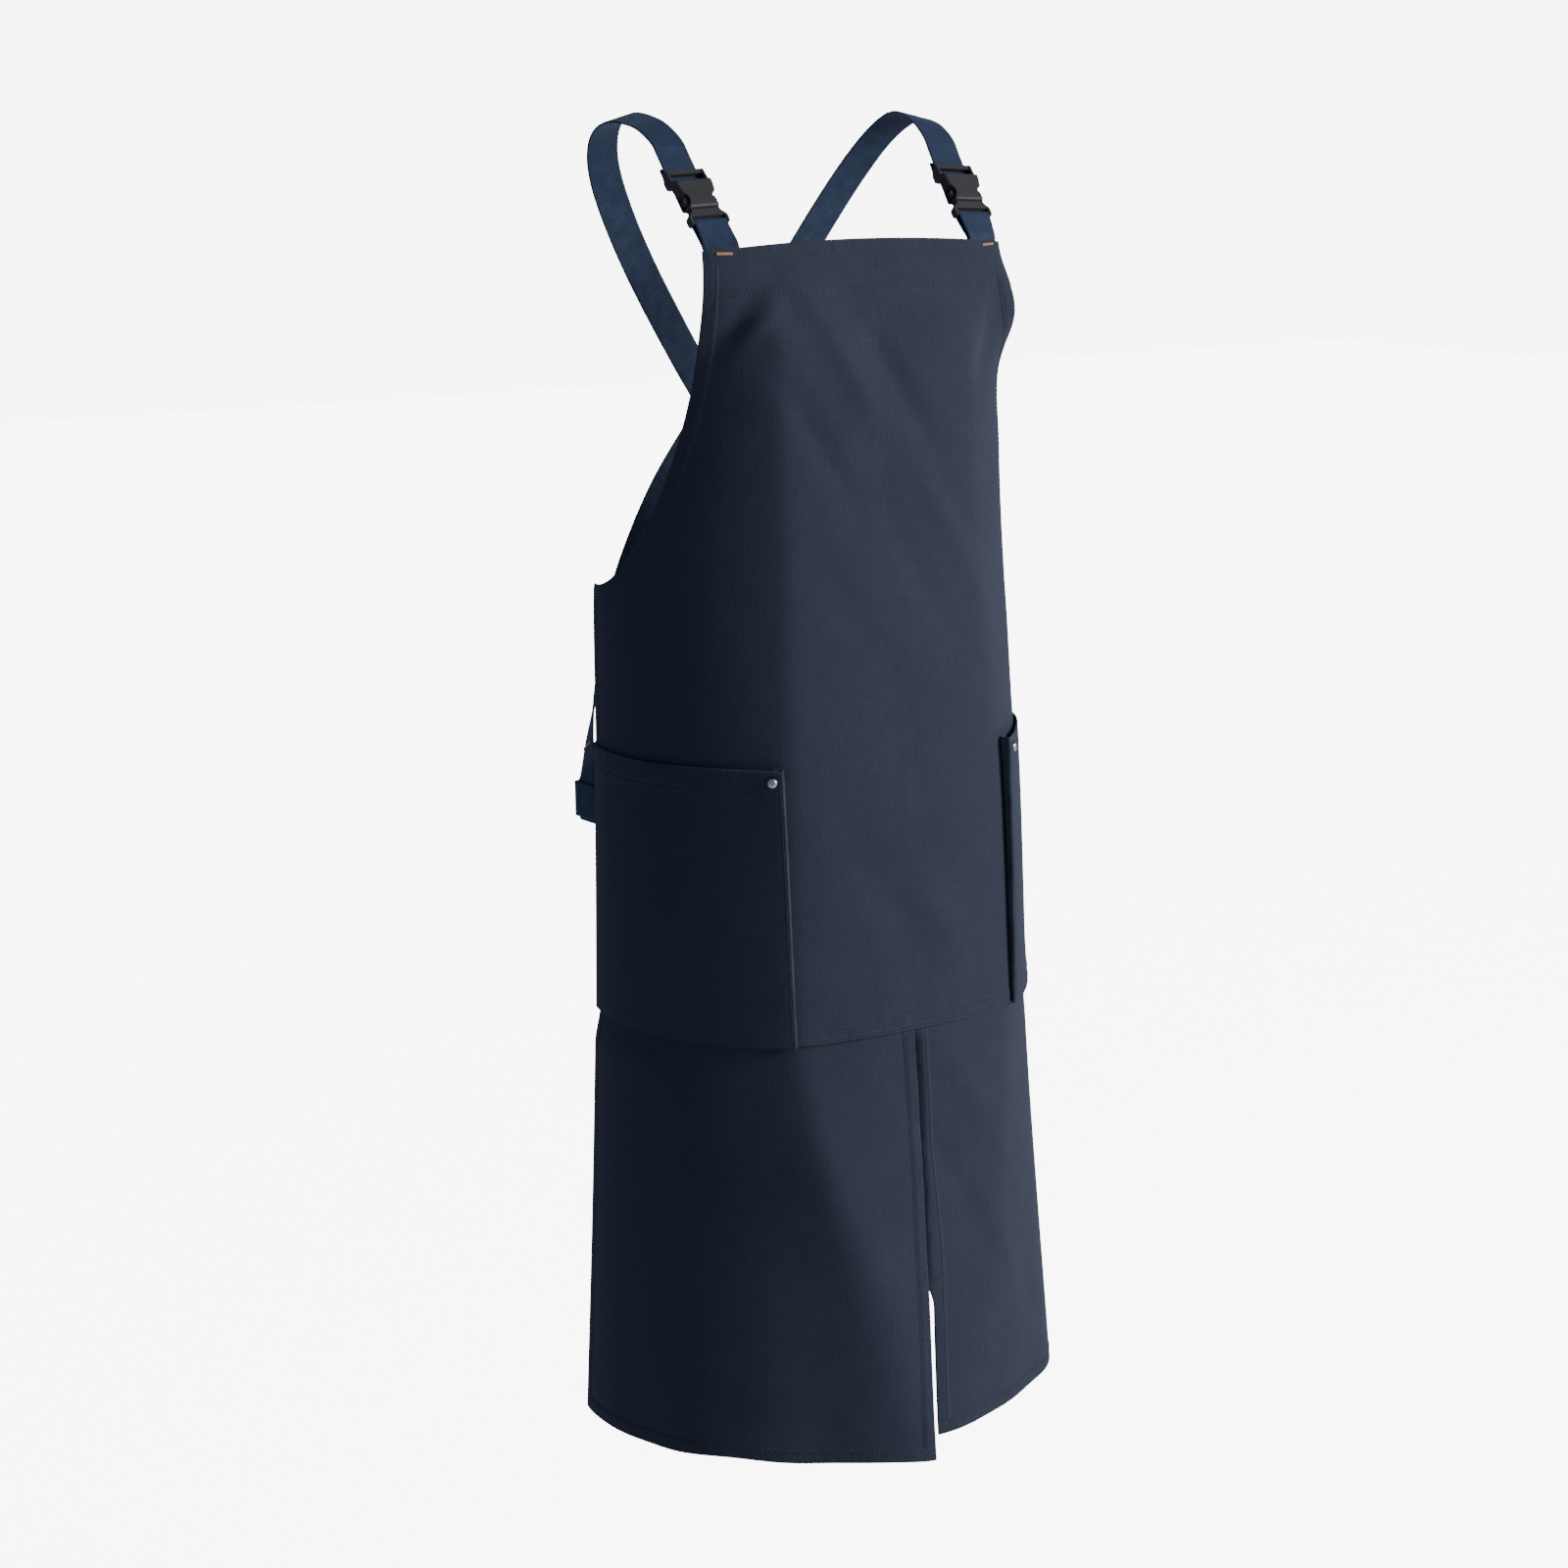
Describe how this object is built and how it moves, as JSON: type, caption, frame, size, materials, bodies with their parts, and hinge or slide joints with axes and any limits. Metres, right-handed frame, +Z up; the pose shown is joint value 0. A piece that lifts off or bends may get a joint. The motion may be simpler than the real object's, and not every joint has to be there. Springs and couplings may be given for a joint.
{
  "type": "split-leg smock apron",
  "caption": "Cross-back canvas apron with a tapered bib, side-release shoulder buckles, hip pockets, side strap loops and a split lower skirt.",
  "frame": {"origin": "midway between the highest points of the two shoulder straps, where the apron rests on its wearer's shoulders", "axes": "+Z up, -Y out of the bib's front, +X towards the wearer's left"},
  "size_m": [0.3792, 0.3156, 0.9851],
  "materials": {
    "apron_body": "matte woven canvas",
    "bib_facing": "matte woven canvas",
    "pocket_left": "matte woven canvas",
    "pocket_right": "matte woven canvas",
    "rivet_cap_left": "worn bright nickel",
    "rivet_cap_right": "worn bright nickel",
    "rivet_burr_left": "worn bright nickel",
    "rivet_burr_right": "worn bright nickel",
    "bib_loop_left": "matte woven webbing",
    "bib_loop_right": "matte woven webbing",
    "buckle_male_left": "fine-grained moulded acetal",
    "buckle_male_right": "fine-grained moulded acetal",
    "shoulder_strap_left": "matte woven webbing",
    "shoulder_strap_right": "matte woven webbing",
    "side_loop_left": "matte woven webbing",
    "side_loop_right": "matte woven webbing",
    "bib_bar_tack_left": "dense thread",
    "bib_bar_tack_right": "dense thread",
    "strap_end_tack_left": "dense thread",
    "strap_end_tack_right": "dense thread",
    "leg_panel_left": "matte woven canvas",
    "leg_panel_right": "matte woven canvas",
    "buckle_female_left": "fine-grained moulded acetal",
    "strap_tail_left": "matte woven webbing",
    "latch_arm_outer_left": "fine-grained moulded acetal",
    "latch_arm_inner_left": "fine-grained moulded acetal",
    "buckle_female_right": "fine-grained moulded acetal",
    "strap_tail_right": "matte woven webbing",
    "latch_arm_outer_right": "fine-grained moulded acetal",
    "latch_arm_inner_right": "fine-grained moulded acetal"
  },
  "bodies": {
    "apron": {"apron_body": "apron_body", "bib_facing": "bib_facing", "pocket_left": "pocket_left", "pocket_right": "pocket_right", "rivet_cap_left": "rivet_cap_left", "rivet_cap_right": "rivet_cap_right", "rivet_burr_left": "rivet_burr_left", "rivet_burr_right": "rivet_burr_right", "bib_loop_left": "bib_loop_left", "bib_loop_right": "bib_loop_right", "buckle_male_left": "buckle_male_left", "buckle_male_right": "buckle_male_right", "shoulder_strap_left": "shoulder_strap_left", "shoulder_strap_right": "shoulder_strap_right", "side_loop_left": "side_loop_left", "side_loop_right": "side_loop_right", "bib_bar_tack_left": "bib_bar_tack_left", "bib_bar_tack_right": "bib_bar_tack_right", "strap_end_tack_left": "strap_end_tack_left", "strap_end_tack_right": "strap_end_tack_right"},
    "leg_panel_left": {"leg_panel_left": "leg_panel_left"},
    "leg_panel_right": {"leg_panel_right": "leg_panel_right"},
    "female_half_left": {"buckle_female_left": "buckle_female_left", "strap_tail_left": "strap_tail_left"},
    "latch_arm_outer_left": {"latch_arm_outer_left": "latch_arm_outer_left"},
    "latch_arm_inner_left": {"latch_arm_inner_left": "latch_arm_inner_left"},
    "female_half_right": {"buckle_female_right": "buckle_female_right", "strap_tail_right": "strap_tail_right"},
    "latch_arm_outer_right": {"latch_arm_outer_right": "latch_arm_outer_right"},
    "latch_arm_inner_right": {"latch_arm_inner_right": "latch_arm_inner_right"}
  },
  "joints": [
    {"name": "leg_panel_left_swing", "type": "hinge", "parent": "apron", "child": "leg_panel_left", "pos_m": [0.12263, -0.13997, -0.6616], "axis": [-0.6741, -0.7386, 0], "range_deg": [0, 12]},
    {"name": "leg_panel_right_swing", "type": "hinge", "parent": "apron", "child": "leg_panel_right", "pos_m": [-0.12263, -0.13997, -0.6616], "axis": [-0.6741, 0.7386, 0], "range_deg": [0, 12]},
    {"name": "buckle_left_release", "type": "slide", "parent": "apron", "child": "female_half_left", "axis": [0.06, 0.6101, 0.7901], "range_m": [0, 0.022], "deforming": ["latch_arm_outer_left", "latch_arm_inner_left"]},
    {"name": "buckle_right_release", "type": "slide", "parent": "apron", "child": "female_half_right", "axis": [-0.06, 0.6101, 0.7901], "range_m": [0, 0.022], "deforming": ["latch_arm_outer_right", "latch_arm_inner_right"]},
    {"name": "latch_arm_outer_left_press", "type": "hinge", "parent": "apron", "child": "latch_arm_outer_left", "pos_m": [0.12424, -0.09611, -0.06368], "axis": [0, -0.7915, 0.6112], "range_deg": [0, 8], "stiffness_Nm_per_rad": 0.1},
    {"name": "latch_arm_inner_left_press", "type": "hinge", "parent": "apron", "child": "latch_arm_inner_left", "pos_m": [0.10608, -0.09544, -0.06282], "axis": [0, 0.7915, -0.6112], "range_deg": [0, 8], "stiffness_Nm_per_rad": 0.1},
    {"name": "latch_arm_outer_right_press", "type": "hinge", "parent": "apron", "child": "latch_arm_outer_right", "pos_m": [-0.12424, -0.09611, -0.06368], "axis": [0, 0.7915, -0.6112], "range_deg": [0, 8], "stiffness_Nm_per_rad": 0.1},
    {"name": "latch_arm_inner_right_press", "type": "hinge", "parent": "apron", "child": "latch_arm_inner_right", "pos_m": [-0.10608, -0.09544, -0.06282], "axis": [0, -0.7915, 0.6112], "range_deg": [0, 8], "stiffness_Nm_per_rad": 0.1}
  ]
}
